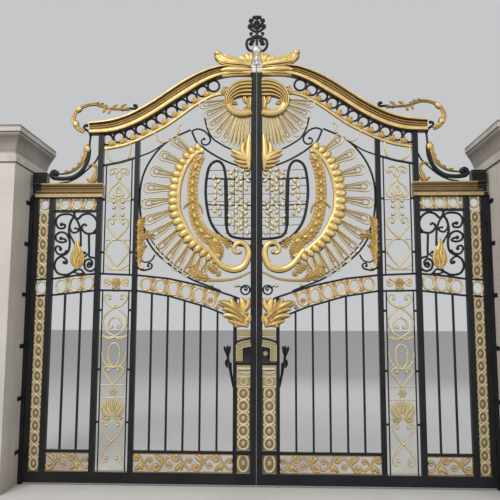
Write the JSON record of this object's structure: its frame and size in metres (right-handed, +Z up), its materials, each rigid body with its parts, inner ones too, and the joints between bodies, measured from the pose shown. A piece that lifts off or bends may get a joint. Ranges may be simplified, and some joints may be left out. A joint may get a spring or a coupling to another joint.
{
  "type": "wrought iron driveway gate",
  "caption": "Pair of arched wrought iron driveway gate leaves with gilt scrollwork, each hinged to a strapped iron jamb post on a capped masonry pier.",
  "frame": {"origin": "centre of the left pier's base, on the ground", "axes": "+X along the gateway from the left pier to the right pier as seen from the street, +Y into the yard, +Z up"},
  "size_m": [5.62, 0.87, 4.426],
  "materials": {
    "pier_stone": "painted render, matt",
    "black_iron": "satin black paint",
    "gilt_iron": "gold paint, semi-gloss",
    "silvered_iron": "silver paint over black"
  },
  "bodies": {
    "gateposts": {"left_pier": "pier_stone", "left_pier_cap": "pier_stone", "right_pier": "pier_stone", "right_pier_cap": "pier_stone", "left_jamb_post": "black_iron", "right_jamb_post": "black_iron"},
    "left_leaf": {"left_hanging_stile": "black_iron", "left_uprights": "black_iron", "left_lock_stile": "black_iron", "left_meeting_stile": "black_iron", "left_bottom_rail": "black_iron", "left_low_rail": "black_iron", "left_lock_rails": "black_iron", "left_bars": "black_iron", "left_side_panel": "black_iron", "left_side_cornice": "gilt_iron", "left_arch_cornice": "gilt_iron", "left_scroll_panel": "gilt_iron", "left_arch_band": "gilt_iron", "left_hoop_scrolls": "black_iron", "left_wreath": "gilt_iron", "left_shell_fan": "gilt_iron", "left_ring_row": "gilt_iron", "left_bottom_band": "gilt_iron", "left_strip_lattice": "gilt_iron", "left_side_crest": "black_iron", "left_lock_case": "black_iron", "centre_finial": "silvered_iron"},
    "right_leaf": {"right_hanging_stile": "black_iron", "right_uprights": "black_iron", "right_lock_stile": "black_iron", "right_meeting_stile": "black_iron", "right_bottom_rail": "black_iron", "right_low_rail": "black_iron", "right_lock_rails": "black_iron", "right_bars": "black_iron", "right_side_panel": "black_iron", "right_side_cornice": "gilt_iron", "right_arch_cornice": "gilt_iron", "right_scroll_panel": "gilt_iron", "right_arch_band": "gilt_iron", "right_hoop_scrolls": "black_iron", "right_wreath": "gilt_iron", "right_shell_fan": "gilt_iron", "right_ring_row": "gilt_iron", "right_bottom_band": "gilt_iron", "right_strip_lattice": "gilt_iron", "right_side_crest": "black_iron", "right_lock_case": "black_iron"}
  },
  "joints": [
    {"name": "left_leaf_hinge", "type": "hinge", "parent": "gateposts", "child": "left_leaf", "pos_m": [0.339, 0.05, 1.33], "axis": [0, 0, 1], "range_deg": [0, 90]},
    {"name": "right_leaf_hinge", "type": "hinge", "parent": "gateposts", "child": "right_leaf", "pos_m": [4.561, 0.05, 1.33], "axis": [0, 0, -1], "range_deg": [0, 90]}
  ]
}
